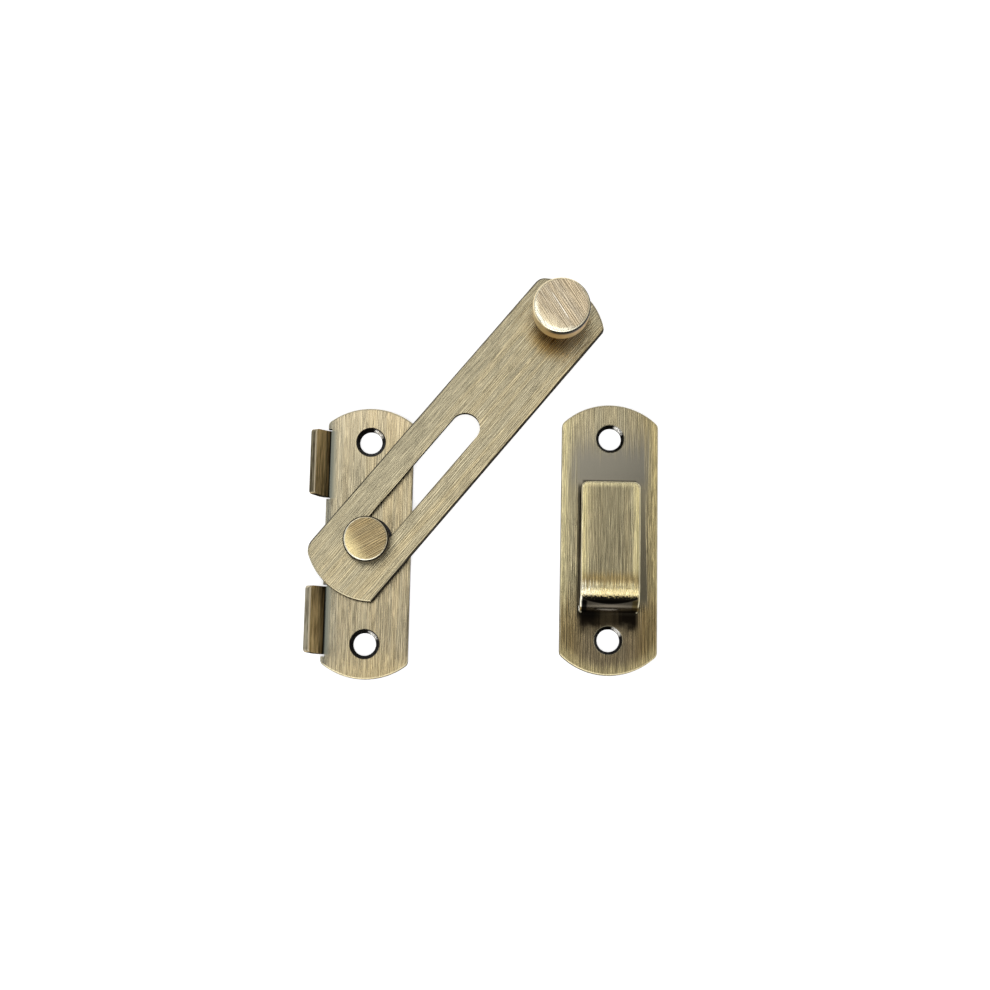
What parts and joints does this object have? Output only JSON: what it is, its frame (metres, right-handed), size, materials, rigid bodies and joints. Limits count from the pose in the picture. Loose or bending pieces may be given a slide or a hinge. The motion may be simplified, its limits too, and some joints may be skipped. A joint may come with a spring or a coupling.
{
  "type": "gate bolt",
  "caption": "Flip latch for a gate: a slotted bar with a knob turns and slides on a stud in an eared base plate, and drops into a bent hook on a separate strike plate.",
  "frame": {"origin": "on the stud's axis at the back face of the base plate, midway between its screw holes", "axes": "+X from the base plate towards the strike plate, +Y along both plates towards the hook's open end, +Z out of the wood towards the user"},
  "size_m": [0.0894, 0.1054, 0.0162],
  "materials": {
    "brushed_sheet": "antique brass, brushed along each piece, darker where it is not brushed",
    "turned_brass": "antique brass, brushed across the turned faces",
    "plain_washer": "plain black plastic"
  },
  "bodies": {
    "plates": {"base_plate": "brushed_sheet", "pivot_stud": "turned_brass", "strike_plate": "brushed_sheet", "strike_hook": "brushed_sheet"},
    "washer": {"pivot_washer": "plain_washer"},
    "bar": {"latch_arm": "brushed_sheet", "arm_knob": "turned_brass"}
  },
  "joints": [
    {"name": "bar_turn", "type": "hinge", "parent": "plates", "child": "washer", "pos_m": [0, 0, 0.0021], "axis": [0, 0, 1], "range_deg": [-53.8, 39]},
    {"name": "bar_slide", "type": "slide", "parent": "washer", "child": "bar", "axis": [0.6293, 0.7771, 0], "range_m": [-0.0006, 0]}
  ]
}
